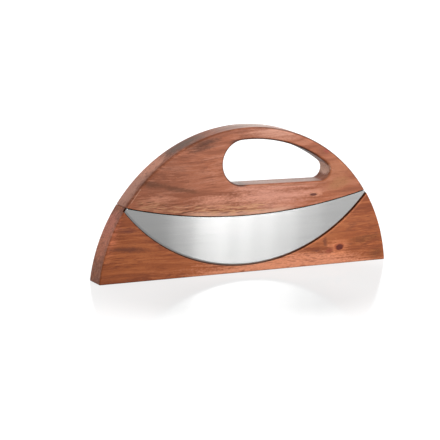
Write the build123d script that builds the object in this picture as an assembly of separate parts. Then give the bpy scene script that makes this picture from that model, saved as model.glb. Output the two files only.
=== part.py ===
from build123d import *
from math import atan2, degrees, isclose, sqrt
import os

# Mezzaluna: a half disc of wood, split along a shallow arc into a handle and a base.
# The handle carries a crescent blade, which rests in a pocket in the base's front.
# Every shape is drawn flat with the front towards +Z, and stood up at the end, so that
# the front looks along -Y, +X runs to the right and the base rests on Z = 0.

os.makedirs("parts", exist_ok=True)

# The half disc, in millimetres
outline_radius = 144.0
centre_drop = 14.3
board_thickness = 20.0
handle_edge_round = 2.6
base_edge_round = 1.2

# The seam between handle and base, an arc that bulges down
seam_radius = 490.3
seam_low = 51.6
seam_gap = 0.3
seam_edge_round = 0.5

# The grip hole, between a bar concentric with the rim and a floor that falls to the right
grip_bar = 10.9
grip_left = -25.7
grip_floor_wood = 27.4
grip_floor_fall = 1.1
grip_taper_share = 0.433
grip_edge_round = 2.2

# The blade, a crescent below the seam with a thinner tang above it
blade_thickness = 2.0
blade_recess = 0.3
cutting_radius = 157.4
cutting_low = 6.5
edge_land = 0.2
bevel_height = 1.8
blade_end_inset = 1.0
blade_corner_round = 0.8
blade_edge_round = 0.4
shoulder_gap = 0.3
tang_thickness = 1.1
tang_height = 14.0
tang_root = 2.0
tang_end_inset = 14.0
tang_corner_radius = 3.0

# The stopped slot for the tang and the pins that lock it
slot_side_clearance = 0.05
slot_top_clearance = 0.4
pin_radius = 2.0
pin_clearance = 0.03
pin_height = 7.5
pin_rim_inset = 32.5

# The pocket in the base and its magnets
pocket_gap = 1.1
pocket_back_clearance = 0.3
pocket_edge_round = 0.5
magnet_radius = 6.0
magnet_thickness = 3.0
magnet_clearance = 0.05
magnet_glue_bed = 0.2
magnet_spacing = 104.0
magnet_height = 34.0

# One overrun for every cut
overrun = 5.0

half_thickness = board_thickness / 2
front = half_thickness
back = -half_thickness
blade_front = front - blade_recess
blade_back = blade_front - blade_thickness
tang_front = blade_back + tang_thickness
pocket_floor = blade_back - pocket_back_clearance
rim_centre = Vector(0, -centre_drop)
seam_centre = Vector(0, seam_low + seam_radius)
cutting_centre = Vector(0, cutting_low + cutting_radius)


def disc(centre, radius):
    return Pos(centre.X, centre.Y) * Circle(radius)


def slab(sketch, low, high):
    return extrude(Pos(0, 0, low) * sketch, high - low)


def rod(x, y, radius, low, high):
    return slab(Pos(x, y) * Circle(radius), low, high)


def stand_up(shape):
    return Rot(90, 0, 0) * shape


def edges_of_radius(shape, radius):
    round_edges = shape.edges().filter_by(GeomType.CIRCLE)
    return round_edges.filter_by(lambda edge: isclose(edge.radius, radius, rel_tol=1e-6))


# The half disc stands on its flat side
resting_side = 2 * outline_radius + overrun
upper_half = Pos(0, resting_side / 2) * Rectangle(2 * resting_side, resting_side)
half_disc = disc(rim_centre, outline_radius) & upper_half


# The grip hole, drawn from the corner where its floor meets its left side. Its left end is the
# circle that touches floor, side and arc, and a smaller circle rounds its right end.
def grip_outline():
    corner = Pos(grip_left, seam_low + grip_floor_wood) * Rot(0, 0, -grip_floor_fall)
    arc_radius = outline_radius - grip_bar
    hub = (corner.inverse() * Pos(rim_centre)).position
    spare = hub.X + hub.Y - arc_radius
    left_radius = spare + sqrt(spare**2 + arc_radius**2 - hub.X**2 - hub.Y**2)
    right_radius = left_radius * grip_taper_share
    right_reach = sqrt((arc_radius - right_radius) ** 2 - (right_radius - hub.Y) ** 2)
    left = Vector(left_radius, left_radius)
    right = Vector(hub.X + right_reach, right_radius)
    left_turn = bearing(hub, left)
    right_turn = bearing(hub, right)
    under_bar = CenterArc(hub, arc_radius, right_turn, left_turn - right_turn)
    left_end = CenterArc(left, left_radius, left_turn, 270 - left_turn)
    right_end = CenterArc(right, right_radius, -90, right_turn + 90)
    floor = Line((left.X, 0), (right.X, 0))
    return corner * make_face([under_bar, left_end, floor, right_end])


def bearing(start, end):
    return degrees(atan2(end.Y - start.Y, end.X - start.X))


# The blade's plate: a disc with a rim ground to an edge, cut to a crescent. The tang is thinner,
# so that wood covers its front, and its back is level with the plate's.
def ground_disc():
    radius = cutting_radius
    half_land = edge_land / 2
    half_plate = blade_thickness / 2
    section = Polyline(
        (0, half_plate),
        (radius - bevel_height, half_plate),
        (radius, half_land),
        (radius, -half_land),
        (radius - bevel_height, -half_plate),
        (0, -half_plate),
        close=True,
    )
    plate = revolve(Plane.XZ * make_face(section), Axis.Z)
    plate_middle = blade_front - half_plate
    return Pos(cutting_centre.X, cutting_centre.Y, plate_middle) * plate


def tang_outline(clearance):
    rim = disc(rim_centre, outline_radius - tang_end_inset + clearance)
    upper_edge = disc(seam_centre, seam_radius - tang_height - clearance)
    band = (rim & disc(seam_centre, seam_radius + tang_root)) - upper_edge
    tops = band.vertices().sort_by(Axis.Y)[-2:]
    return fillet(tops, tang_corner_radius)


def blade():
    crescent = disc(rim_centre, outline_radius - blade_end_inset)
    crescent = crescent - disc(seam_centre, seam_radius + shoulder_gap)
    shoulders = crescent.vertices().sort_by(Axis.Y)[-2:]
    crescent = fillet(shoulders, blade_corner_round)
    plate = ground_disc() & slab(crescent, blade_back, blade_front)
    bevel_line = edges_of_radius(plate, cutting_radius - bevel_height)
    front_edges = plate.edges().group_by(Axis.Z)[-1]
    plate = fillet([edge for edge in front_edges if edge not in bevel_line], blade_edge_round)
    plate += slab(tang_outline(0), blade_back, tang_front)
    for x, y in pin_centres():
        plate -= rod(x, y, pin_radius + pin_clearance, back, front)
    return plate


# The pins follow the seam, one at the middle of the tang and one towards each end
def pin_centres():
    line_radius = seam_radius - pin_height
    rim_reach = outline_radius - pin_rim_inset
    apart = seam_centre.Y - rim_centre.Y
    rise = (rim_reach**2 - line_radius**2 + apart**2) / (2 * apart)
    x = sqrt(rim_reach**2 - rise**2)
    y = rim_centre.Y + rise
    return [(-x, y), (0, seam_low + pin_height), (x, y)]


def tang_pin(centre):
    return rod(*centre, pin_radius, back, tang_front)


def handle():
    outline = (half_disc & disc(seam_centre, seam_radius)) - grip_outline()
    board = slab(outline, back, front)
    board = fillet(edges_of_radius(board, outline_radius), handle_edge_round)
    board = fillet(edges_of_radius(board, seam_radius), seam_edge_round)
    board = fillet(hole_edges(board), grip_edge_round)
    slot_front = tang_front + slot_side_clearance
    slot_back = blade_back - slot_side_clearance
    board -= slab(tang_outline(slot_top_clearance), slot_back, slot_front)
    for x, y in pin_centres():
        board -= rod(x, y, pin_radius + pin_clearance, back - overrun, slot_front)
    return board


def hole_edges(board):
    flat_faces = board.faces().filter_by(Axis.Z)
    return [edge for face in flat_faces for wire in face.inner_wires() for edge in wire.edges()]


# The base: the half disc below the seam, with the pocket open at its front, top and ends
def base():
    outline = half_disc - disc(seam_centre, seam_radius + seam_gap)
    block = slab(outline, back, front)
    seam = edges_of_radius(block, seam_radius + seam_gap)
    lower = [edge for edge in block.edges() if edge not in seam and edge.center().Y < seam_low]
    block = fillet(lower, base_edge_round)
    pocket_radius = cutting_radius + pocket_gap
    block -= slab(disc(cutting_centre, pocket_radius), pocket_floor, front + overrun)
    pocket_lip = edges_of_radius(block, pocket_radius).group_by(Axis.Z)[-1]
    block = fillet(pocket_lip, pocket_edge_round)
    bed = pocket_floor - magnet_thickness - magnet_glue_bed
    for x, y in magnet_centres():
        block -= rod(x, y, magnet_radius + magnet_clearance, bed, front)
    return block


def magnet_centres():
    return [(-magnet_spacing / 2, magnet_height), (magnet_spacing / 2, magnet_height)]


def magnet(centre):
    return rod(*centre, magnet_radius, pocket_floor - magnet_thickness, pocket_floor)


pin_names = ["tang_pin_left", "tang_pin_centre", "tang_pin_right"]
magnet_names = ["magnet_left", "magnet_right"]

pieces = {"handle": handle(), "blade": blade(), "base": base()}
for name, centre in zip(pin_names, pin_centres()):
    pieces[name] = tang_pin(centre)
for name, centre in zip(magnet_names, magnet_centres()):
    pieces[name] = magnet(centre)

for name, piece in pieces.items():
    export_step(stand_up(piece), "parts/" + name + ".step")
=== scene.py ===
# %% [markdown]
# # A mezzaluna and its wooden stand
# A mezzaluna is a curved kitchen knife that is rocked to and fro to chop. This one is a half
# disc of hardwood, sawn in two along a shallow arc. The upper part is the handle, and it carries
# a crescent of brushed steel. The lower part is the stand, with a pocket for the blade.
# The script loads the CAD frame, models each piece again with rounder detail and its own finish
# in the same place, and then sets up the table, the light and the camera.

# %% Load the frame
from math import atan2, cos, hypot, pi, radians, sin

import bmesh
import bpy
from mathutils import Matrix, Vector


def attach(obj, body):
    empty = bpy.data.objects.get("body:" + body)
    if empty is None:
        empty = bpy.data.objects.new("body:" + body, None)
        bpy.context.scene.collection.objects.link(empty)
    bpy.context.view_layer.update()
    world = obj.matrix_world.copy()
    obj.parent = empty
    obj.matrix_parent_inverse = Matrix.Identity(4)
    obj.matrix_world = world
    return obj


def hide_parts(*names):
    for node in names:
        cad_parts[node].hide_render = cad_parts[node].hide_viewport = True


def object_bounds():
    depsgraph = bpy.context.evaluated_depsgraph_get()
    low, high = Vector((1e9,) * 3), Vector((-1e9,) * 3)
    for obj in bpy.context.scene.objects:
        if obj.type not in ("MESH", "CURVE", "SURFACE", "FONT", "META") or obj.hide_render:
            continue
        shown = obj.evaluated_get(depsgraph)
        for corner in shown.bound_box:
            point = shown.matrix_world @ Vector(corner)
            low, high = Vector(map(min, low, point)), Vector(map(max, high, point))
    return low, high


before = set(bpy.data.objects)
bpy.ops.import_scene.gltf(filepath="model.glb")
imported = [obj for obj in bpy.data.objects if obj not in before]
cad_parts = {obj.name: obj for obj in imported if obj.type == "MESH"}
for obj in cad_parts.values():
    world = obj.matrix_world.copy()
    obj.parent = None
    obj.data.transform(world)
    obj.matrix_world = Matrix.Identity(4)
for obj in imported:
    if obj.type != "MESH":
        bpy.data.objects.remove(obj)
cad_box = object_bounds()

for corner in cad_box:
    print("corner of the CAD box in metres:", [round(value, 4) for value in corner])

# %% [markdown]
# ## The drawing
# The maker's drawing is flat and made of circles: one for the rim, one for the seam, one for the
# cutting edge. The same numbers are used here. They are in millimetres, because that is how a
# workshop thinks, and one helper turns a point of the drawing into a point in Blender's metres.
# X runs to the right, Z runs up, and the front of the wood faces -Y.

# %% Circles of the drawing
millimetre = 0.001
rim_centre = (0.0, -14.3)
rim_radius = 144.0
seam_centre = (0.0, 541.9)
seam_radius = 490.3
edge_centre = (0.0, 163.9)
edge_radius = 157.4

# %% Depths of the wood
wood_front = -10.0
wood_back = 10.0
overrun = 5.0
print("the board is", wood_back - wood_front, "mm thick")

# %% Depths of the steel
blade_front = -9.7
blade_back = -7.7
tang_front = -8.8
print("the blade lies", round(blade_front - wood_front, 2), "mm behind the front of the wood")


# %% From the drawing to Blender
def spot(x, z, depth=wood_front):
    return Vector((x, depth, z)) * millimetre


def bearing(centre, point):
    return atan2(point[1] - centre[1], point[0] - centre[0])


# %% [markdown]
# ## Workshop tools
# Three moves make almost every shape of this object: swing a point round a centre to draw an
# arc, fill the outline and give it thickness, and round the edges over. The mesh operators
# spin, extrude and bevel do the same. Bevel's defaults differ from the ones in the editor, so
# every setting that matters is written out.

# %% Draw an arc
full_turn = 2 * pi
out_of_the_board = (0, -1, 0)


def swing(bm, start, centre, turn, steps):
    middle = spot(*centre)
    made = bmesh.ops.spin(bm, geom=[start], cent=middle, axis=out_of_the_board, angle=turn, steps=steps)
    ends = [part for part in made["geom_last"] if isinstance(part, bmesh.types.BMVert)]
    return ends[0]


# %% Draw a full circle
def draw_circle(bm, centre, radius, depth, steps):
    start = bm.verts.new(spot(centre[0] + radius, centre[1], depth))
    bmesh.ops.spin(
        bm,
        geom=[start],
        cent=spot(*centre, depth),
        axis=out_of_the_board,
        angle=full_turn,
        steps=steps,
        use_merge=True,
    )


# %% Join points that lie on each other
weld_distance = 0.002 * millimetre


def weld(bm):
    bmesh.ops.remove_doubles(bm, verts=bm.verts, dist=weld_distance)


# %% Give a flat outline its thickness
def thicken(bm, thickness):
    made = bmesh.ops.extrude_face_region(bm, geom=list(bm.faces))
    moved = [part for part in made["geom"] if isinstance(part, bmesh.types.BMVert)]
    bmesh.ops.translate(bm, vec=(0, thickness * millimetre, 0), verts=moved)
    bmesh.ops.recalc_face_normals(bm, faces=bm.faces)


# %% [markdown]
# The edges to round are found by what they are, not by their number. An edge counts as a corner
# if the surface turns by enough degrees there. Which corner it is follows from its place: on a
# circle of the drawing, at a depth in the board, or straight through the board.

# %% Find the edges that turn a corner
sharp_turn = 60
blunt_turn = 30


def corner_edges(bm, least_turn=sharp_turn):
    return [edge for edge in bm.edges if edge.calc_face_angle(0) > radians(least_turn)]


# %% Find the corners that run through the board
straight_through = 0.99


def through_edges(bm, least_turn):
    found = []
    for edge in corner_edges(bm, least_turn):
        along = (edge.verts[0].co - edge.verts[1].co).normalized()
        if abs(along.y) > straight_through:
            found.append(edge)
    return found


def top_two(edges):
    return sorted(edges, key=lambda edge: edge.verts[0].co.z)[-2:]


# %% Pick edges by where they lie in the drawing
circle_slack = 0.02
depth_slack = 0.005


def reach_from(centre, vert):
    return hypot(vert.co.x / millimetre - centre[0], vert.co.z / millimetre - centre[1])


def on_circle(edge, centre, radius):
    return all(abs(reach_from(centre, vert) - radius) < circle_slack for vert in edge.verts)


def at_depth(edge, depth):
    return all(abs(vert.co.y / millimetre - depth) < depth_slack for vert in edge.verts)


# %% Round edges over
round_profile = 0.5


def round_over(bm, edges, radius, segments):
    bmesh.ops.bevel(
        bm,
        geom=edges,
        offset=radius * millimetre,
        offset_type="OFFSET",
        affect="EDGES",
        segments=segments,
        profile=round_profile,
        material=-1,
        loop_slide=False,
    )


# %% [markdown]
# ## Saws, drills and routers
# A disc with some thickness is the most useful cutter here. The seam is the cut of a very large
# disc, the pocket is the cut of a smaller one, and a drill bit is a tiny one. Blender's Boolean
# modifier takes one solid away from another, as the tool does with the wood. It is applied at
# once, so that later edges can still be rounded.


# %% A disc, used as a piece or as a cutter
def disc(centre, radius, near, far, steps):
    bm = bmesh.new()
    draw_circle(bm, centre, radius, near, steps)
    weld(bm)
    bmesh.ops.contextual_create(bm, geom=list(bm.edges))
    thicken(bm, far - near)
    return bm


# %% Put a mesh into the scene
def set_down(bm, name):
    mesh = bpy.data.meshes.new(name)
    bm.to_mesh(mesh)
    bm.free()
    piece = bpy.data.objects.new(name, mesh)
    bpy.context.scene.collection.objects.link(piece)
    return piece


# %% Cut one solid with another
def carve(bm, cutter, operation):
    work = set_down(bm, "work")
    tool = set_down(cutter, "tool")
    cut = work.modifiers.new("cut", "BOOLEAN")
    cut.operation = operation
    cut.solver = "EXACT"
    cut.object = tool
    view = bpy.context.evaluated_depsgraph_get()
    carved = bpy.data.meshes.new_from_object(work.evaluated_get(view), depsgraph=view)
    result = bmesh.new()
    result.from_mesh(carved)
    for spent in (work.data, tool.data, carved):
        bpy.data.meshes.remove(spent)
    weld(result)
    return result


# %% The seam as a cutter
seam_steps = 720


def seam_disc(radius):
    return disc(seam_centre, radius, wood_front - overrun, wood_back + overrun, seam_steps)


# %% [markdown]
# ## Finished pieces
# A board has large flat faces and small roundings. Smooth shading alone would bend the light on the
# flats towards the roundings, so a Weighted Normal modifier lets the large faces win. Then the piece is
# told which CAD body it rides on, and the CAD node that it stands for is hidden.

# %% Finish a piece
wood_crease = 35


def finish_piece(bm, name, body, node, crease=wood_crease):
    piece = set_down(bm, name)
    piece.data.shade_smooth()
    piece.data.set_sharp_from_angle(angle=radians(crease))
    level = piece.modifiers.new("level_flats", "WEIGHTED_NORMAL")
    level.keep_sharp = True
    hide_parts(node)
    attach(piece, body)
    print(name, "has", len(piece.data.polygons), "faces and stands for", node)
    return piece


# %% [markdown]
# ## The tang
# The blade can't be glued to the wood by its edge alone. Part of its sheet, the tang, runs up
# into a slot in the handle, and three steel pins lock it there. The tang and the slot have one
# outline, a band above the seam with rounded top corners, so one function draws both and the
# slot only gets a little clearance.

# %% Tang sizes
tang_inset = 14.0
tang_height = 14.0
tang_root = 2.0
tang_corner = 2.0
tang_corner_segments = 5
tang_steps = 200


# %% Outline of the tang
def tang_shape(clearance, near, far):
    bm = disc(rim_centre, rim_radius - tang_inset + clearance, near, far, tang_steps)
    bm = carve(bm, seam_disc(seam_radius + tang_root), "INTERSECT")
    bm = carve(bm, seam_disc(seam_radius - tang_height - clearance), "DIFFERENCE")
    corners = top_two(through_edges(bm, blunt_turn))
    round_over(bm, corners, tang_corner, tang_corner_segments)
    return bm


# %% [markdown]
# The pins stand in a row that follows the seam. Each pin hole runs through the tang, and into
# the handle from the back as far as the tang's front, so no pin shows on the handle's face.

# %% Pin holes
tang_pins = {"left": (-77.94, 65.43), "centre": (0.0, 59.1), "right": (77.94, 65.43)}
pin_hole_radius = 2.03
pin_hole_steps = 32


def drill_for_pins(bm, near):
    for pin_centre in tang_pins.values():
        drill = disc(pin_centre, pin_hole_radius, near, wood_back + overrun, pin_hole_steps)
        bm = carve(bm, drill, "DIFFERENCE")
    return bm


# %% [markdown]
# ## The handle
# The handle is one board. Its outline is the rim circle, and the grip hole is drawn inside it
# before the face is filled, so that both are extruded together. The hole has a wide round end for
# the hand's heel, a narrow end, a top that runs along with the rim, and a floor that falls a
# little to the right. The rim is rounded well over at the front and less at the back, the hole is
# rounded on both sides, and then the seam disc cuts off everything below the handle.

# %% Grip hole sizes
wide_end = (-5.287, 98.644)
narrow_end = (73.9555, 85.762)
narrow_radius = 8.674
floor_fall = radians(1.1)
wide_steps = 40
narrow_steps = 20
grip_top_steps = 44


# %% Draw the grip hole
def draw_grip_hole(bm):
    downwards = -pi / 2 - floor_fall
    narrow_top = bearing(rim_centre, narrow_end)
    wide_top = bearing(rim_centre, wide_end)
    floor_x = narrow_end[0] + narrow_radius * cos(downwards)
    floor_z = narrow_end[1] + narrow_radius * sin(downwards)
    start = bm.verts.new(spot(floor_x, floor_z))
    point = swing(bm, start, narrow_end, narrow_top - downwards, narrow_steps)
    point = swing(bm, point, rim_centre, wide_top - narrow_top, grip_top_steps)
    point = swing(bm, point, wide_end, downwards + full_turn - wide_top, wide_steps)
    bm.edges.new((point, start))


# %% Draw and thicken the handle board
handle_steps = 240


def handle_blank():
    bm = bmesh.new()
    draw_circle(bm, rim_centre, rim_radius, wood_front, handle_steps)
    draw_grip_hole(bm)
    weld(bm)
    outline = list(bm.edges)
    bmesh.ops.triangle_fill(bm, use_beauty=True, edges=outline, normal=out_of_the_board)
    thicken(bm, wood_back - wood_front)
    return bm


# %% Round the rim and the grip hole
front_rim_rounding = 2.6
front_rim_segments = 6
back_rim_rounding = 1.2
back_rim_segments = 4
grip_rounding = 2.2
grip_segments = 6
handle_bm = handle_blank()
rim_edges = [edge for edge in corner_edges(handle_bm) if on_circle(edge, rim_centre, rim_radius)]
front_rim = [edge for edge in rim_edges if at_depth(edge, wood_front)]
back_rim = [edge for edge in rim_edges if at_depth(edge, wood_back)]
round_over(handle_bm, front_rim, front_rim_rounding, front_rim_segments)
round_over(handle_bm, back_rim, back_rim_rounding, back_rim_segments)
round_over(handle_bm, corner_edges(handle_bm), grip_rounding, grip_segments)
print("the rim has", len(front_rim), "edges at the front and", len(back_rim), "at the back")

# %% Cut the handle free along the seam
seam_rounding = 0.5
seam_segments = 3
handle_bm = carve(handle_bm, seam_disc(seam_radius), "INTERSECT")
seam_edges = []
for edge in corner_edges(handle_bm, blunt_turn):
    if on_circle(edge, seam_centre, seam_radius):
        seam_edges.append(edge)
round_over(handle_bm, seam_edges, seam_rounding, seam_segments)
print("the handle's underside has", len(seam_edges), "rounded edges")

# %% Slot and pin holes in the handle
slot_top_clearance = 0.4
slot_front = -8.85
slot_back = -7.65
slot = tang_shape(slot_top_clearance, slot_front, slot_back)
handle_bm = carve(handle_bm, slot, "DIFFERENCE")
handle_bm = drill_for_pins(handle_bm, tang_front)

# %% Finish the handle
handle_board = finish_piece(handle_bm, "handle_board", "knife", "handle")

# %% [markdown]
# ## The stand
# The stand is the rest of the half disc. Its arc is drawn from one foot to the other and closed
# by the flat underside. Two shallow bores take the magnets, the seam disc hollows the top, and
# a disc a little larger than the blade's edge routs the pocket, which stays open at the front.

# %% Stand sizes
foot = (143.288, 0.0)
stand_steps = 112
stand_rounding = 1.2
stand_segments = 4

# %% Draw and round the stand
stand_bm = bmesh.new()
first_point = stand_bm.verts.new(spot(*foot))
half_turn = pi - 2 * bearing(rim_centre, foot)
last_point = swing(stand_bm, first_point, rim_centre, half_turn, stand_steps)
stand_bm.edges.new((last_point, first_point))
bmesh.ops.contextual_create(stand_bm, geom=list(stand_bm.edges))
thicken(stand_bm, wood_back - wood_front)
round_over(stand_bm, corner_edges(stand_bm), stand_rounding, stand_segments)
print("the stand is", 2 * foot[0], "mm long")

# %% Pocket and bore sizes
seam_gap = 0.3
pocket_radius = 157.9
pocket_floor = -7.4
router_steps = 360
magnet_centres = {"left": (-52.0, 34.0), "right": (52.0, 34.0)}
bore_radius = 6.05
bore_floor = -4.2
bore_steps = 64

# %% Bore, hollow and rout the stand
above_wood = wood_front - overrun
for bore_centre in magnet_centres.values():
    bore = disc(bore_centre, bore_radius, above_wood, bore_floor, bore_steps)
    stand_bm = carve(stand_bm, bore, "DIFFERENCE")
stand_bm = carve(stand_bm, seam_disc(seam_radius + seam_gap), "DIFFERENCE")
router = disc(edge_centre, pocket_radius, above_wood, pocket_floor, router_steps)
stand_bm = carve(stand_bm, router, "DIFFERENCE")

# %% Round the pocket's lip and finish the stand
lip_rounding = 0.3
lip_segments = 3
lip_edges = []
for edge in corner_edges(stand_bm):
    if at_depth(edge, wood_front) and on_circle(edge, edge_centre, pocket_radius):
        lip_edges.append(edge)
round_over(stand_bm, lip_edges, lip_rounding, lip_segments)
stand_block = finish_piece(stand_bm, "stand_block", "base", "base")

# %% [markdown]
# ## The blade
# The blade is 2 mm sheet steel. It starts as a disc whose wall is drawn out to a thin edge, which
# is what grinding does, and the rim circle and the seam disc then trim the disc to a crescent.
# The front edges are eased so that they don't bite, and they catch a thin line of light.

# %% Blade sizes
bevel_height = 1.8
edge_share = 0.1
edge_steps = 480
blade_end_radius = 143.0
blade_end_steps = 360
shoulder_radius = 490.6
shoulder_turn = 20
shoulder_rounding = 0.6
shoulder_segments = 4

# %% Extrude the disc's wall
flat_radius = edge_radius - bevel_height
faces_sideways = 0.5
blade_bm = disc(edge_centre, flat_radius, blade_front, blade_back, edge_steps)
wall = [face for face in blade_bm.faces if abs(face.normal.y) < faces_sideways]
drawn_out = bmesh.ops.extrude_face_region(blade_bm, geom=wall)
bmesh.ops.delete(blade_bm, geom=wall, context="FACES_ONLY")
edge_points = [part for part in drawn_out["geom"] if isinstance(part, bmesh.types.BMVert)]
print("the cutting edge has", len(edge_points), "points")

# %% Grind the edge
outwards = edge_radius / flat_radius
disc_middle = spot(*edge_centre, (blade_front + blade_back) / 2)
hub = Matrix.Translation(-disc_middle)
thinner = (outwards, edge_share, outwards)
bmesh.ops.scale(blade_bm, vec=thinner, space=hub, verts=edge_points)
bmesh.ops.recalc_face_normals(blade_bm, faces=blade_bm.faces)

# %% Trim to a crescent and add the tang
end_near = blade_front - overrun
end_far = blade_back + overrun
end_disc = disc(rim_centre, blade_end_radius, end_near, end_far, blade_end_steps)
blade_bm = carve(blade_bm, end_disc, "INTERSECT")
blade_bm = carve(blade_bm, seam_disc(shoulder_radius), "DIFFERENCE")
shoulders = top_two(through_edges(blade_bm, shoulder_turn))
round_over(blade_bm, shoulders, shoulder_rounding, shoulder_segments)
blade_bm = carve(blade_bm, tang_shape(0.0, tang_front, blade_back), "UNION")

# %% Drill the tang and ease the front
blade_easing = 0.4
easing_segments = 4
blade_bm = drill_for_pins(blade_bm, wood_front - overrun)
front_edges = [edge for edge in corner_edges(blade_bm) if at_depth(edge, blade_front)]
round_over(blade_bm, front_edges, blade_easing, easing_segments)
print("the blade's front has", len(front_edges), "eased edges")

# %% [markdown]
# Brushed steel shines along its brush lines, so the shader has to know their direction. A UV map
# that follows the sheet says it: U runs along the blade, as the brush did.

# %% Map the brush direction
brush_map = "brush"
map_scale = 4.0
map_middle = 0.5
layer = blade_bm.loops.layers.uv.new(brush_map)
for face in blade_bm.faces:
    for loop in face.loops:
        place = loop.vert.co
        loop[layer].uv = (place.x * map_scale + map_middle, place.z * map_scale)

# %% Finish the blade
steel_crease = 24
blade_sheet = finish_piece(blade_bm, "blade_sheet", "knife", "blade", steel_crease)

# %% [markdown]
# ## Pins and magnets
# The pins are short steel rods, driven from the back and sanded level with the wood, so each end
# has a small chamfer. The magnets are nickel-plated discs with rounded edges, glued into the
# pocket's floor, where they hold the blade through its back.

# %% Pins
pin_radius = 2.0
pin_chamfer = 0.25
pin_steps = 40
chamfer_segments = 2
tang_pin_rods = []
for side, pin_centre in tang_pins.items():
    pin_bm = disc(pin_centre, pin_radius, tang_front, wood_back, pin_steps)
    round_over(pin_bm, corner_edges(pin_bm), pin_chamfer, chamfer_segments)
    rod = finish_piece(pin_bm, "pin_rod_" + side, "knife", "tang_pin_" + side)
    tang_pin_rods.append(rod)

# %% Magnets
magnet_radius = 6.0
magnet_thickness = 3.0
magnet_back = pocket_floor + magnet_thickness
magnet_rounding = 0.35
magnet_steps = 64
magnet_segments = 4
magnet_discs = []
for side, magnet_centre in magnet_centres.items():
    magnet_bm = disc(magnet_centre, magnet_radius, pocket_floor, magnet_back, magnet_steps)
    round_over(magnet_bm, corner_edges(magnet_bm), magnet_rounding, magnet_segments)
    node = "magnet_" + side
    magnet = finish_piece(magnet_bm, "magnet_disc_" + side, "base", node)
    magnet_discs.append(magnet)

# %% [markdown]
# ## Node helpers
# A material is a graph of nodes. A few helpers keep the recipes short: one adds a node and fills
# its sockets, one turns a screen colour into the linear colour that shaders want, and the others
# stand for the arithmetic and the noise that every recipe uses.


# %% Add a node
def add_node(tree, kind, sockets=None, **settings):
    made = tree.nodes.new(kind)
    for name, value in settings.items():
        setattr(made, name, value)
    for name, value in (sockets or {}).items():
        if isinstance(value, bpy.types.NodeSocket):
            tree.links.new(value, made.inputs[name])
        else:
            made.inputs[name].default_value = value
    return made


# %% Screen colours
full_level = 255
dark_end = 0.04045
dark_slope = 12.92
curve_lift = 0.055
curve_power = 2.4


def light_of(level):
    share = level / full_level
    if share <= dark_end:
        return share / dark_slope
    return ((share + curve_lift) / (1 + curve_lift)) ** curve_power


def screen_colour(red, green, blue):
    return (light_of(red), light_of(green), light_of(blue), 1.0)


# %% Start and close a material
def start_material(name):
    material = bpy.data.materials.new(name)
    material.use_nodes = True
    material.node_tree.nodes.clear()
    return material, material.node_tree


def close_material(tree, sockets):
    shader = add_node(tree, "ShaderNodeBsdfPrincipled", sockets)
    add_node(tree, "ShaderNodeOutputMaterial", {"Surface": shader.outputs[0]})
    print("a material has", len(tree.nodes), "nodes")


# %% Arithmetic in the graph
def reckon(tree, operation, first, second=0.0):
    sockets = {0: first, 1: second}
    return add_node(tree, "ShaderNodeMath", sockets, operation=operation).outputs[0]


def overlap(tree, share, *others):
    for other in others:
        share = reckon(tree, "MULTIPLY", share, other)
    return share


# %% Places in the graph
def squeeze(tree, place, factors):
    sockets = {0: place, 1: factors}
    return add_node(tree, "ShaderNodeVectorMath", sockets, operation="MULTIPLY").outputs[0]


def away_from(tree, place, point):
    sockets = {0: place, 1: point}
    made = add_node(tree, "ShaderNodeVectorMath", sockets, operation="DISTANCE")
    return made.outputs["Value"]


# %% [markdown]
# A soft edge is a Map Range node with smooth steps. It says where a value starts and ends its
# climb, and what comes out at both ends. Most soft edges of the wood are lengths, so a second
# helper takes its range in millimetres.


# %% Soft edges
def ease(tree, value, low, high, to_low=0.0, to_high=1.0):
    sockets = {"Value": value, "From Min": low, "From Max": high, "To Min": to_low, "To Max": to_high}
    made = add_node(tree, "ShaderNodeMapRange", sockets, interpolation_type="SMOOTHSTEP")
    return made.outputs["Result"]


def ease_length(tree, length, low, high, to_low=0.0, to_high=1.0):
    return ease(tree, length, low * millimetre, high * millimetre, to_low, to_high)


# %% Colour over colour
share_socket = 0
under_socket = 6
over_socket = 7
mixed_socket = 2


def paint(tree, share, under, over):
    sockets = {share_socket: share, under_socket: under, over_socket: over}
    made = add_node(tree, "ShaderNodeMix", sockets, data_type="RGBA")
    return made.outputs[mixed_socket]


# %% Noise that is stretched along the grain
def grain_noise(tree, place, repeats, detail, seed=(0, 0, 0), wander=0.0):
    where = {"Vector": place, "Location": seed, "Scale": repeats}
    stretched = add_node(tree, "ShaderNodeMapping", where).outputs[0]
    sockets = {"Vector": stretched, "Scale": 1.0, "Detail": detail, "Distortion": wander}
    return add_node(tree, "ShaderNodeTexNoise", sockets).outputs["Fac"]


# %% Noise that goes up and down about zero
noise_middle = 0.5


def sway(tree, noise, height):
    return overlap(tree, reckon(tree, "SUBTRACT", noise, noise_middle), height)


# %% [markdown]
# ## Wood
# The boards are a reddish hardwood, oiled to a satin sheen. The grain runs along the board, so
# every pattern is a solid noise, stretched along X. A solid pattern runs through the board, and
# the ends, the hole and the back then show the same wood as the front. A slow wave bends the
# grain a little, because no board is perfectly straight.

# %% Grain coordinates with a slow wave
wave_repeats = (13, 20, 16)
wave_detail = 1.0
wave_height = 7.0 * millimetre


def grain_place(tree, seed):
    straight = add_node(tree, "ShaderNodeTexCoord").outputs["Object"]
    wave = grain_noise(tree, straight, wave_repeats, wave_detail, seed)
    lift = sway(tree, wave, wave_height)
    push = add_node(tree, "ShaderNodeCombineXYZ", {"Y": lift, "Z": lift}).outputs[0]
    bent = add_node(tree, "ShaderNodeVectorMath", {0: straight, 1: push}, operation="ADD")
    return bent.outputs[0], straight


# %% How far a place lies inside a circle of the drawing
flat_on_the_board = (1, 0, 1)


def inside_circle(tree, place, centre, radius):
    flat = squeeze(tree, place, flat_on_the_board)
    away = away_from(tree, flat, spot(*centre, 0.0))
    return reckon(tree, "SUBTRACT", radius * millimetre, away)


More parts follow.
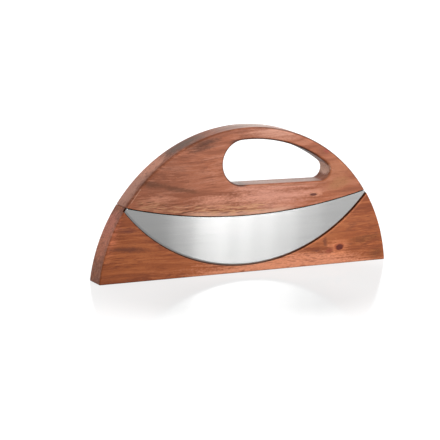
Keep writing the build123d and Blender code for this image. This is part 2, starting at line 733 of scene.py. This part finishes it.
# %% [markdown]
# The ground of each board has four layers: broad bands of two tones, warm blotches, and long
# streaks, first the dark ones and then the light ones. Each layer is a noise with a soft edge.
# A soft edge that runs from high to low paints where the noise is low.

# %% Patterns of the ground
band_pattern = {"repeats": (7, 60, 60), "detail": 3.0, "wander": 0.3}
blotch_pattern = {"repeats": (18, 34, 38), "detail": 2.0, "seed": (3, 1, 7), "wander": 0.4}
streak_pattern = {"detail": 4.0, "wander": 0.2}
band_edge = (0.4, 0.6)
blotch_edge = (0.45, 0.6, 0.0, 0.7)
dark_streak_edge = (0.5, 0.62, 0.0, 0.5)
light_streak_edge = (0.47, 0.37, 0.0, 0.45)


# %% Lay a tone over the wood so far
def stain(wood, share, tone):
    wood["colour"] = paint(wood["tree"], share, wood["colour"], tone)


# %% Start a board
def start_wood(name, tones, seed):
    material, tree = start_material(name)
    grain, straight = grain_place(tree, seed)
    wood = {"material": material, "tree": tree, "tones": tones, "seed": seed, "grain": grain}
    wood["straight"] = straight
    wood["axes"] = add_node(tree, "ShaderNodeSeparateXYZ", {0: straight}).outputs
    bands = grain_noise(tree, grain, seed=seed, **band_pattern)
    streaks = grain_noise(tree, grain, tones["streak_repeats"], seed=seed, **streak_pattern)
    blotches = grain_noise(tree, grain, **blotch_pattern)
    wood["streaks"] = streaks
    wood["colour"] = paint(tree, ease(tree, bands, *band_edge), tones["deep"], tones["light"])
    stain(wood, ease(tree, blotches, *blotch_edge), tones["warm"])
    stain(wood, ease(tree, streaks, *dark_streak_edge), tones["streak"])
    stain(wood, ease(tree, streaks, *light_streak_edge), tones["glow"])
    return wood


# %% [markdown]
# A board is told from a picture of wood by its single marks: a knot, a dark vein, a patch of
# other colour. Each mark here is an ellipsoid in the wood with a ragged edge. Its place and size
# are in the drawing's millimetres, as right, back and up, and its ragged edge follows the grain.
# Inside the core the mark has its full strength. Some marks paint light and shade instead of wood:
# sheen on the rims, highlights where the soft box shines, and shade along roundings.


# %% A mark in the wood
def wood_mark(at, size, colour, strength, core=0.2, rough=1.0, tilt=0):
    shape = {"at": at, "size": size, "tilt": tilt, "core": core, "rough": rough}
    return {**shape, "colour": colour, "strength": strength}


# %% How much of a mark shows at a place
mark_end = 1.0


def mark_share(tree, grain, mark, ragged):
    sockets = {
        "Vector": grain,
        "Location": [value * millimetre for value in mark["at"]],
        "Rotation": (0, radians(-mark["tilt"]), 0),
        "Scale": [value * millimetre for value in mark["size"]],
    }
    local = add_node(tree, "ShaderNodeMapping", sockets, vector_type="TEXTURE").outputs[0]
    length = add_node(tree, "ShaderNodeVectorMath", {0: local}, operation="LENGTH")
    rag = overlap(tree, ragged, mark["rough"])
    reach = reckon(tree, "ADD", length.outputs["Value"], rag)
    return overlap(tree, ease(tree, reach, mark_end, mark["core"]), mark["strength"])


# %% Paint all marks of a board
crumb_pattern = {"repeats": (420, 900, 1000), "detail": 3.0}
streak_rag = 1.6
crumb_rag = 1.0


def paint_marks(wood, marks):
    tree = wood["tree"]
    crumbs = grain_noise(tree, wood["grain"], **crumb_pattern)
    ragged = sway(tree, wood["streaks"], streak_rag)
    ragged = reckon(tree, "ADD", ragged, sway(tree, crumbs, crumb_rag))
    for mark in marks:
        share = mark_share(tree, wood["grain"], mark, ragged)
        stain(wood, share, screen_colour(*mark["colour"]))
    print("a board has", len(marks), "marks")


# %% [markdown]
# Close to, wood is made of fibres. Short dashes, dark and light, lie in groups, with quiet places
# between them. Fine fibres and tiny pores come on top, and both also dent the surface. What faces
# straight up is painted paler and greyer, a painted sheen of the light from above.

# %% Patterns of the surface
dash_pattern = {"repeats": (100, 760, 860), "detail": 3.0, "wander": 0.2}
fibre_pattern = {"repeats": (160, 5200, 5200), "detail": 2.0}
pore_pattern = {"repeats": (260, 3300, 3300), "detail": 1.0}
group_pattern = {"repeats": (22, 60, 70), "detail": 1.0, "seed": (8, 8, 8)}
group_edge = (0.42, 0.6, 0.2, 1.0)
calm_edge = (-20, 20)
dark_dash_edge = (0.52, 0.64)
light_dash_edge = (0.47, 0.37, 0.0, 0.45)
fibre_edge = (0.45, 0.7, 0.0, 0.35)
pore_edge = (0.66, 0.74, 0.0, 0.6)
facing_up_edge = (0.965, 0.999, 0.0, 0.5)

# %% Sheen of the surface
wood_roughness = (0.3, 0.7, 0.38, 0.48)
wood_gloss = 0.22
pore_dent = 1.5
dent_strength = 0.2
dent_depth = 0.2 * millimetre


# %% Dashes, in groups
def paint_dashes(wood):
    tree, tones, grain = wood["tree"], wood["tones"], wood["grain"]
    dashes = grain_noise(tree, grain, seed=wood["seed"], **dash_pattern)
    groups = ease(tree, grain_noise(tree, grain, **group_pattern), *group_edge)
    calm = ease_length(tree, wood["axes"]["X"], *calm_edge, 1.0, tones["calm_right"])
    lively = overlap(tree, groups, calm)
    dark = ease(tree, dashes, *dark_dash_edge, 0.0, tones["dash_share"])
    light = ease(tree, dashes, *light_dash_edge)
    stain(wood, overlap(tree, lively, dark), tones["streak"])
    stain(wood, overlap(tree, lively, light), tones["glow"])


# %% Fibres, pores and the finished board
def close_wood(wood):
    tree, tones, grain = wood["tree"], wood["tones"], wood["grain"]
    paint_dashes(wood)
    fibres = grain_noise(tree, grain, seed=wood["seed"], **fibre_pattern)
    pores = ease(tree, grain_noise(tree, grain, seed=wood["seed"], **pore_pattern), *pore_edge)
    stain(wood, ease(tree, fibres, *fibre_edge), tones["streak"])
    stain(wood, pores, tones["pore"])
    normal = add_node(tree, "ShaderNodeNewGeometry").outputs["Normal"]
    facing = add_node(tree, "ShaderNodeSeparateXYZ", {0: normal}).outputs["Z"]
    # painted sheen: what faces up is painted paler
    stain(wood, ease(tree, facing, *facing_up_edge), tones["top_sheen"])
    height = reckon(tree, "SUBTRACT", fibres, overlap(tree, pores, pore_dent))
    dents = {"Height": height, "Strength": dent_strength, "Distance": dent_depth}
    sockets = {
        "Base Color": wood["colour"],
        "Roughness": ease(tree, wood["streaks"], *wood_roughness),
        "Specular IOR Level": wood_gloss,
        "Normal": add_node(tree, "ShaderNodeBump", dents).outputs[0],
    }
    close_material(tree, sockets)


# %% [markdown]
# ## Handle wood
# The handle's board is the pinker of the two. It is darker at its left end and paler along its lower
# middle, partly its own tone and partly painted light of the soft box, and a figured band of tan and
# dark flecks runs just above the blade, as wood shows where the saw passed near a knot.

# %% Tones of the handle wood
handle_tones = {
    "light": screen_colour(160, 94, 65),
    "deep": screen_colour(140, 76, 47),
    "warm": screen_colour(154, 86, 54),
    "streak": screen_colour(112, 59, 36),
    "glow": screen_colour(184, 119, 91),
    "pore": screen_colour(80, 42, 28),
    "top_sheen": screen_colour(170, 150, 140),
    "dash_share": 0.6,
    "calm_right": 0.3,
    "streak_repeats": (24, 260, 280),
}

# %% Broad tones of the handle: partly the wood's own, partly painted light, paler where the soft box shines
handle_tone_and_light_marks = [
    wood_mark((-88, -10, 84), (46, 24, 34), (112, 60, 36), 0.6, core=0.0),
    # paler patches, partly painted light where the soft box shines
    wood_mark((24, -10, 68), (60, 24, 18), (200, 140, 119), 0.85, core=0.0),
    wood_mark((-30, -10, 66), (42, 24, 9), (206, 142, 116), 0.85, core=0.0),
    wood_mark((-86, -10, 72), (26, 24, 7), (196, 132, 104), 0.7, core=0.0),
    wood_mark((20, -10, 124), (44, 24, 9), (192, 138, 116), 0.8, core=0.0),
    wood_mark((90, -10, 84), (28, 24, 26), (160, 100, 68), 0.7, core=0.0),
]

# %% Dark patch below the rim and dark vein in the left half
handle_vein_marks = [
    wood_mark((-47, -10, 118), (23, 14, 8), (82, 38, 6), 0.9, core=0.15, rough=0.8, tilt=12),
    wood_mark((-44, -10, 118.5), (20, 14, 2.2), (70, 32, 8), 0.6, core=0.1, rough=0.9, tilt=14),
    wood_mark((-50, -10, 113.5), (18, 14, 2.0), (74, 34, 10), 0.6, core=0.1, rough=0.9, tilt=12),
    wood_mark((-95, -10, 85.8), (20, 14, 4), (84, 42, 14), 0.85, rough=0.7, tilt=-6),
    wood_mark((-74, -10, 81.8), (19, 14, 3.4), (88, 44, 16), 0.8, rough=0.5, tilt=-12),
    wood_mark((-56, -10, 77), (15, 14, 3), (98, 52, 24), 0.7, rough=0.6, tilt=-16),
]

# %% Pin knot and small marks round the grip hole, with painted shade and painted light
handle_grip_marks_and_light = [
    wood_mark((70, -10, 66.2), (9, 8, 3), (206, 142, 112), 0.6, core=0.0),
    wood_mark((66.2, -10, 66.2), (5, 8, 1.5), (70, 20, 8), 0.95, core=0.5, rough=0.4),
    # painted shade along the rounding under the grip hole's floor
    wood_mark((34, -10, 76.4), (48, 3, 1.1), (134, 80, 44), 0.7, core=0.3, rough=0.3, tilt=-1.1),
    wood_mark((78, -10, 103), (5, 10, 4), (138, 58, 48), 0.8, tilt=-40),
    wood_mark((92, -10, 74), (14, 14, 7), (150, 98, 60), 0.7, tilt=15),
    # painted pool of light on the grip hole's right wall
    wood_mark((82.6, 1, 87.5), (5, 12, 7.5), (255, 208, 184), 1.0, core=0.6, rough=0.3),
]

# %% Painted sheen and painted shade along the handle's rim, with the dark and light lines of its rounded front edge
handle_rim_sheen_marks = [
    wood_mark((-60, 2, 116), (34, 12, 10), (80, 64, 52), 0.9, rough=0.5, tilt=25),
    wood_mark((-108, 3, 82), (34, 12, 22), (200, 142, 120), 0.85, core=0.4, rough=0.5, tilt=50),
    wood_mark((-89, 3, 99), (19, 12, 12), (222, 152, 124), 0.8, core=0.4, rough=0.5, tilt=38),
    wood_mark((10, 4, 129.5), (28, 9, 5), (240, 222, 208), 0.6, core=0.3, rough=0.5),
    wood_mark((-106.5, -9, 84), (9, 3, 0.9), (76, 40, 29), 0.8, core=0.5, tilt=47),
    wood_mark((-111, -10, 75.5), (11, 4, 0.6), (210, 162, 138), 0.45, core=0.5, tilt=51),
]

# %% Ground and marks of the handle
handle_wood = start_wood("handle_wood", handle_tones, (0, 0, 0))
handle_marks = handle_tone_and_light_marks + handle_vein_marks + handle_grip_marks_and_light + handle_rim_sheen_marks
paint_marks(handle_wood, handle_marks)

# %% [markdown]
# The figured band follows the seam, so its height is measured from the seam's circle. Right at
# the seam the middle of the board is pale. Above it one noise makes both kinds of fleck: tan
# where the noise is high, dark where it is low. Towards the left the tan flecks fade, and the
# dark ones grow stronger.

# %% Where the figured band runs
figure_height = 5.5 * millimetre
figure_edge = (6.0, 2.0)
figure_right_edge = (45, 0)
figure_left_edge = (-114, -100)
tree = handle_wood["tree"]
along = handle_wood["axes"]["X"]
height_above_seam = inside_circle(tree, handle_wood["grain"], seam_centre, seam_radius)
above_figure = reckon(tree, "SUBTRACT", height_above_seam, figure_height)
figure_share = overlap(
    tree,
    ease_length(tree, reckon(tree, "ABSOLUTE", above_figure), *figure_edge),
    ease_length(tree, along, *figure_right_edge),
    ease_length(tree, along, *figure_left_edge),
)

# %% Pale wood at the seam
pale_edge = (5.0, 2.0, 0.0, 0.7)
pale_left_edge = (-70, -45)
pale_right_edge = (55, 30)
pale_tone = screen_colour(216, 166, 142)
pale_share = overlap(
    tree,
    ease_length(tree, height_above_seam, *pale_edge),
    ease_length(tree, along, *pale_left_edge),
    ease_length(tree, along, *pale_right_edge),
)
stain(handle_wood, pale_share, pale_tone)

# %% Tan and dark flecks
fleck_pattern = {"repeats": (90, 760, 950), "detail": 4.0, "seed": (4, 4, 4), "wander": 0.3}
left_part_edge = (-35, -65)
tan_edge = (0.48, 0.57, 0.0, 0.85)
dark_edge = (0.46, 0.39, 0.0, 0.9)
tan_fade = (0.0, 1.0, 1.0, 0.6)
dark_fade = (0.0, 1.0, 0.5, 1.0)
tan_tone = screen_colour(194, 144, 104)
dark_tone = screen_colour(74, 42, 22)
flecks = grain_noise(tree, handle_wood["grain"], **fleck_pattern)
left_part = ease_length(tree, along, *left_part_edge)
tan_flecks = overlap(
    tree, figure_share, ease(tree, flecks, *tan_edge), ease(tree, left_part, *tan_fade)
)
stain(handle_wood, tan_flecks, tan_tone)
dark_flecks = overlap(
    tree, figure_share, ease(tree, flecks, *dark_edge), ease(tree, left_part, *dark_fade)
)
stain(handle_wood, dark_flecks, dark_tone)

# %% [markdown]
# A thin line of painted shade follows the grip hole's left end and top, and the rim's front edge, where
# it grows stronger to the right. Each line is the last millimetre or two beside a circle of the
# drawing.

# %% Painted shade line round the grip hole
wide_radius = 20.03
grip_top_radius = 133.1
grip_line_edge = (-2.0, -0.8)
left_of_grip_edge = (4, -6)
above_grip_edge = (98, 104)
right_of_bend_edge = (-22, -14)
straight = handle_wood["straight"]
inside_wide_end = inside_circle(tree, straight, wide_end, wide_radius)
wide_line = overlap(
    tree,
    ease_length(tree, inside_wide_end, *grip_line_edge),
    ease_length(tree, along, *left_of_grip_edge),
)
inside_grip_top = inside_circle(tree, straight, rim_centre, grip_top_radius)
top_line = overlap(
    tree,
    ease_length(tree, inside_grip_top, *grip_line_edge),
    ease_length(tree, handle_wood["axes"]["Z"], *above_grip_edge),
    ease_length(tree, along, *right_of_bend_edge),
)

# %% Painted shade line along the rim
rim_line_edge = (1.6, 0.5)
rim_front_edge = (-7.4, -8.0)
rim_right_edge = (0, 30, 0.3, 0.8)
rim_line = overlap(
    tree,
    ease_length(tree, inside_circle(tree, straight, rim_centre, rim_radius), *rim_line_edge),
    ease_length(tree, handle_wood["axes"]["Y"], *rim_front_edge),
    ease_length(tree, along, *rim_right_edge),
)

# %% Paint the shade lines and close the handle wood
shade_line_strength = 0.9
shade_line_tone = screen_colour(52, 20, 12)
lines = reckon(tree, "MAXIMUM", reckon(tree, "MAXIMUM", wide_line, top_line), rim_line)
stain(handle_wood, overlap(tree, lines, shade_line_strength), shade_line_tone)
close_wood(handle_wood)
handle_board.data.materials.append(handle_wood["material"])

# %% [markdown]
# ## Stand wood
# The stand's board is more orange and has stronger streaks. It shows one real knot towards the right
# end, in a paler halo, with a brown spot and small specks beside it. Its left end is paler and a little
# pinker, on its rim a painted sheen, and its bottom middle gets a painted highlight of the soft box.

# %% Tones of the stand wood
stand_tones = {
    "light": screen_colour(154, 82, 42),
    "deep": screen_colour(128, 62, 27),
    "warm": screen_colour(148, 78, 40),
    "streak": screen_colour(108, 50, 25),
    "glow": screen_colour(182, 108, 64),
    "pore": screen_colour(72, 34, 22),
    "top_sheen": screen_colour(180, 130, 106),
    "dash_share": 0.75,
    "calm_right": 0.8,
    "streak_repeats": (13, 330, 350),
}

# %% Broad tones of the stand, with painted sheen on the left end's rim and a painted highlight along the bottom middle
stand_tone_and_light_marks = [
    wood_mark((-112, -10, 22), (40, 24, 30), (164, 90, 46), 0.5, core=0.0),
    wood_mark((120, -10, 36), (26, 24, 18), (128, 64, 32), 0.55, core=0.0),
    # painted sheen on the rim of the left end
    wood_mark((-137, 1, 39), (16, 22, 27), (212, 122, 86), 0.85, core=0.3, rough=0.5),
    wood_mark((-131, 2, 54), (12, 20, 18), (206, 118, 92), 0.85, core=0.4, rough=0.5),
    # painted highlight of the soft box along the bottom middle
    wood_mark((45, -10, 3), (112, 24, 15), (212, 138, 104), 0.95, core=0.3),
    wood_mark((84, -10, 27), (34, 24, 14), (158, 90, 50), 0.6, core=0.0, tilt=25),
]

# %% Dark streaks of the stand's left end
stand_left_marks = [
    wood_mark((-118, -10, 45), (12, 14, 2.8), (92, 38, 27), 0.75),
    wood_mark((-118, -10, 28), (26, 14, 3.4), (86, 40, 24), 0.8, tilt=-3),
]

# %% The knot and the small marks beside it
stand_knot_marks = [
    wood_mark((94, -10, 15.6), (16, 12, 9.5), (212, 130, 88), 0.8, core=0.1),
    wood_mark((94.8, -10, 15.9), (6.4, 9, 4.0), (138, 56, 26), 0.8, core=0.6, rough=0.4, tilt=5),
    wood_mark((95.2, -10, 15.7), (4.6, 7, 2.9), (78, 14, 0), 1.0, core=0.7, rough=0.25, tilt=5),
    wood_mark((85, -10, 13.6), (6, 8, 3.6), (132, 58, 38), 0.8, core=0.3, rough=0.8, tilt=20),
    wood_mark((80, -10, 21.5), (3, 8, 5.6), (108, 55, 31), 0.85, tilt=10),
    wood_mark((70.5, -10, 13.6), (8, 8, 1.5), (98, 48, 32), 0.8),
]

# %% Dark streaks of the stand's right end
stand_right_marks = [
    wood_mark((122, -10, 21.5), (22, 14, 5), (106, 56, 20), 0.75, tilt=6),
    wood_mark((134, -10, 8), (14, 14, 6.6), (108, 58, 22), 0.75),
    wood_mark((106, -10, 33), (9, 14, 2.6), (122, 64, 36), 0.6, tilt=30),
]

# %% Ground and marks of the stand
stand_wood = start_wood("stand_wood", stand_tones, (5, 2, 9))
stand_marks = stand_tone_and_light_marks + stand_left_marks + stand_knot_marks + stand_right_marks
paint_marks(stand_wood, stand_marks)

# %% [markdown]
# The gap of the pocket gets painted shade, dark, and the lip on the right gets a painted highlight, a
# little lighter. Both follow the pocket's own circle. The painted shade ends just behind the pocket's
# floor, or it would show on the stand's left end, which the same circle crosses.

# %% Where the pocket and its lip are
pocket_shade_edge = (-0.15, 0.0)
pocket_shade_front_edge = (-9.3, -8.7)
pocket_shade_back_edge = (-7.1, -7.3)
lip_edge = (-2.0, -0.8)
lip_right_edge = (20, 60, 0.0, 0.25)
lip_front_edge = (-9.0, -9.5)
tree = stand_wood["tree"]
depth = stand_wood["axes"]["Y"]
inside_pocket = inside_circle(tree, stand_wood["straight"], edge_centre, pocket_radius)
pocket_shade = overlap(
    tree,
    ease_length(tree, inside_pocket, *pocket_shade_edge),
    ease_length(tree, depth, *pocket_shade_front_edge),
    ease_length(tree, depth, *pocket_shade_back_edge),
)
lip_highlight = overlap(
    tree,
    ease_length(tree, inside_pocket, *lip_edge),
    ease_length(tree, stand_wood["axes"]["X"], *lip_right_edge),
    ease_length(tree, depth, *lip_front_edge),
)

# %% Paint the pocket's shade and the lip's highlight, and close the stand wood
pocket_shade_strength = 0.9
lip_highlight_tone = screen_colour(230, 142, 96)
pocket_shade_tone = screen_colour(60, 30, 20)
stain(stand_wood, lip_highlight, lip_highlight_tone)
stain(stand_wood, overlap(tree, pocket_shade, pocket_shade_strength), pocket_shade_tone)
close_wood(stand_wood)
stand_block.data.materials.append(stand_wood["material"])

# %% [markdown]
# ## Steel and nickel
# The blade was brushed along its length. Brush lines along X smear every reflection along Z, so
# a strip light shows as an upright band with soft sides. That needs an anisotropic shader, with
# its tangent taken from the brush map and turned by a quarter.

# %% Metal recipe
line_detail = 2.0
line_middle = 0.5


def start_metal(name, dark, light, repeats, contrast):
    material, tree = start_material(name)
    place = add_node(tree, "ShaderNodeTexCoord").outputs["Object"]
    lines = grain_noise(tree, place, repeats, line_detail)
    share = ease(tree, lines, line_middle - contrast, line_middle + contrast)
    return material, tree, lines, paint(tree, share, dark, light)


# %% Blade steel colour
blade_dark = screen_colour(139, 139, 139)
blade_light = screen_colour(145, 145, 144)
brush_repeats = (7, 500, 5200)
brush_contrast = 0.2
blade_steel, tree, lines, colour = start_metal(
    "blade_steel", blade_dark, blade_light, brush_repeats, brush_contrast
)

# %% Blade steel sheen
blade_roughness = (0.3, 0.7, 0.11, 0.13)
brush_stretch = 0.95
quarter = 0.25
scratch_strength = 0.05
scratch_depth = 0.01 * millimetre
along_brush = add_node(tree, "ShaderNodeTangent", direction_type="UV_MAP", uv_map=brush_map)
scratches = {"Height": lines, "Strength": scratch_strength, "Distance": scratch_depth}
sockets = {
    "Base Color": colour,
    "Metallic": 1.0,
    "Roughness": ease(tree, lines, *blade_roughness),
    "Anisotropic": brush_stretch,
    "Anisotropic Rotation": quarter,
    "Normal": add_node(tree, "ShaderNodeBump", scratches).outputs[0],
    "Tangent": along_brush.outputs[0],
}
close_material(tree, sockets)
blade_sheet.data.materials.append(blade_steel)


# %% Plain metal for small pieces
def plain_metal(name, dark, light, repeats, contrast, roughness):
    material, tree, lines, colour = start_metal(name, dark, light, repeats, contrast)
    sheen = ease(tree, lines, *roughness)
    close_material(tree, {"Base Color": colour, "Metallic": 1.0, "Roughness": sheen})
    return material


# %% Pin steel
pin_dark = screen_colour(150, 148, 145)
pin_light = screen_colour(186, 184, 180)
pin_repeats = (900, 900, 2600)
pin_contrast = 0.15
pin_roughness = (0.3, 0.7, 0.28, 0.42)
pin_steel = plain_metal("pin_steel", pin_dark, pin_light, pin_repeats, pin_contrast, pin_roughness)
for rod in tang_pin_rods:
    rod.data.materials.append(pin_steel)

# %% Magnet nickel
nickel_dark = screen_colour(184, 178, 166)
nickel_light = screen_colour(208, 204, 194)
nickel_repeats = (260, 260, 260)
nickel_contrast = 0.2
nickel_roughness = (0.3, 0.7, 0.1, 0.22)
magnet_nickel = plain_metal(
    "magnet_nickel", nickel_dark, nickel_light, nickel_repeats, nickel_contrast, nickel_roughness
)
for magnet in magnet_discs:
    magnet.data.materials.append(magnet_nickel)

# %% [markdown]
# ## Table and white surroundings
# The object stands on a glossy white table in white surroundings. A truly white table would light the
# wood from below and hide its own faint reflection. This one is dark grey, with a glow that lights
# nothing and only shows to a look, be it direct, mirrored or through glass. Far away it is nearly as
# white as the surroundings. Near the object, and most of all below the blade, the glow is lower. This
# paints a soft grey shade on the table there, a painted shadow, and lets the real soft shadow and the
# faint mirror image stay on the table.


# %% Rays that look straight at a surface
def looking_rays(tree):
    path = add_node(tree, "ShaderNodeLightPath").outputs
    looking = reckon(tree, "MAXIMUM", path["Is Camera Ray"], path["Is Glossy Ray"])
    return reckon(tree, "MAXIMUM", looking, path["Is Transmission Ray"])


# %% Glow of the table, lower near the object, which paints shade there
glow_squeeze = (1.15, 1.6, 1.0)
before_object = (-0.02, -0.08, 0.0)
near_glow = 0.785
far_glow = 0.97
glow_edge = (0.13, 0.25)
below_blade = (-0.045, -0.115, 0.0)
below_blade_edge = (0.12, 0.03, 0.0, 0.08)
table_finish, tree = start_material("white_table")
table_place = add_node(tree, "ShaderNodeTexCoord").outputs["Object"]
squeezed = squeeze(tree, table_place, glow_squeeze)
glow = ease(tree, away_from(tree, squeezed, before_object), *glow_edge, near_glow, far_glow)
# painted shade on the table: the glow dips below the blade
painted_shade_below_blade = ease(tree, away_from(tree, table_place, below_blade), *below_blade_edge)
glow = reckon(tree, "SUBTRACT", glow, painted_shade_below_blade)

# %% Table finish
polish_repeats = (30, 30, 30)
polish_detail = 2.0
table_roughness = (0.3, 0.7, 0.1, 0.12)
table_gloss = 0.012
white = (1, 1, 1, 1)
dark_grey = screen_colour(72, 72, 72)
polish = grain_noise(tree, table_place, polish_repeats, polish_detail)
sockets = {
    "Base Color": dark_grey,
    "Roughness": ease(tree, polish, *table_roughness),
    "Specular IOR Level": table_gloss,
    "Emission Color": white,
    "Emission Strength": overlap(tree, looking_rays(tree), glow),
}
close_material(tree, sockets)

# %% Table top
table_reach = 4.0
table_bm = bmesh.new()
bmesh.ops.create_grid(table_bm, x_segments=1, y_segments=1, size=table_reach)
table_top = set_down(table_bm, "table_top")
table_top.data.materials.append(table_finish)
print("the table is", 2 * table_reach, "m wide")

# %% World light
soft_level = 0.56
world = bpy.data.worlds.new("white_surroundings")
bpy.context.scene.world = world
world.use_nodes = True
world.node_tree.nodes.clear()
tree = world.node_tree
levels = {"Value": looking_rays(tree), "To Min": soft_level, "To Max": 1.0}
level = add_node(tree, "ShaderNodeMapRange", levels).outputs["Result"]
background = add_node(tree, "ShaderNodeBackground", {"Color": white, "Strength": level})
add_node(tree, "ShaderNodeOutputWorld", {"Surface": background.outputs[0]})
print("the surroundings light the object at", soft_level, "of their white")

# %% [markdown]
# ## Soft box and lamps
# A tall soft box at the front right gives the blade its bright band, and the wood a soft sheen.
# Its place follows from the mirror rule: seen from the camera, the blade's middle mirrors that
# direction. The band has a quick left side and a slow right side, so the soft box is made of
# upright tubes side by side, and each tube has its own brightness. The last tubes are weak and
# keep the right part of the blade lighter than the left part. A side lamp, far to the left,
# lights the left rim, and a low, wide lamp behind lights the top of the rim.


# %% Make a lamp
def place_lamp(name, place, aim, width, height, brightness):
    lamp = bpy.data.lights.new(name, "AREA")
    lamp.shape = "RECTANGLE"
    lamp.size = width
    lamp.size_y = height
    lamp.energy = brightness * pi * width * height
    stand = bpy.data.objects.new(name, lamp)
    stand.location = place
    stand.rotation_euler = (Vector(aim) - Vector(place)).to_track_quat("-Z", "Y").to_euler()
    stand.visible_camera = False
    bpy.context.scene.collection.objects.link(stand)
    print(name, "has", round(lamp.energy, 2), "W")


# %% Place the tubes
tube_width = 0.03
tube_height = 1.1
first_tube_x = 0.222
tube_distance = -0.55
tube_middle = 0.55
tube_slant = 0.3
tube_brightness = (5.4, 16.4, 14.6, 13.6, 10.9, 5.8, 2.4, 2.2, 2.4, 2.6)
for number, brightness in enumerate(tube_brightness):
    tube_x = first_tube_x + number * tube_width
    tube_spot = (tube_x, tube_distance, tube_middle)
    tube_aim = (tube_x - tube_slant, 0.0, tube_middle)
    place_lamp("tube_" + str(number), tube_spot, tube_aim, tube_width, tube_height, brightness)

# %% Place the side lamp
object_middle = (0, 0, 0.06)
side_spot = (-1.2, -0.25, 0.6)
side_width = 0.8
side_brightness = 1.25
place_lamp("side_lamp", side_spot, object_middle, side_width, side_width, side_brightness)

# %% Place the back lamp
back_spot = (0.3, 1.6, 0.25)
back_width = 2.4
back_height = 0.4
back_brightness = 1.6
place_lamp("back_lamp", back_spot, object_middle, back_width, back_height, back_brightness)

# %% [markdown]
# ## Camera
# The camera stands to the left of the front and a little above, far away with a long lens, so
# that the half disc keeps its shape. A small roll follows the photograph.

# %% Camera
camera_spot = Vector((-1.1948221, -2.1623338, 0.5749466))
camera_target = Vector((-0.02202, 0.0, 0.0467))
camera_roll = radians(1.738)
sensor_width = 36.0
lens_length = 234.4
camera_data = bpy.data.cameras.new("camera")
camera_data.sensor_width = sensor_width
camera_data.lens = lens_length
camera = bpy.data.objects.new("camera", camera_data)
bpy.context.scene.collection.objects.link(camera)
looking = (camera_target - camera_spot).to_track_quat("-Z", "Y").to_matrix().to_4x4()
roll = Matrix.Rotation(camera_roll, 4, "Z")
camera.matrix_world = Matrix.Translation(camera_spot) @ looking @ roll
bpy.context.scene.camera = camera
bpy.context.scene.view_settings.view_transform = "Standard"
print("the camera is", round((camera_target - camera_spot).length, 2), "m away")
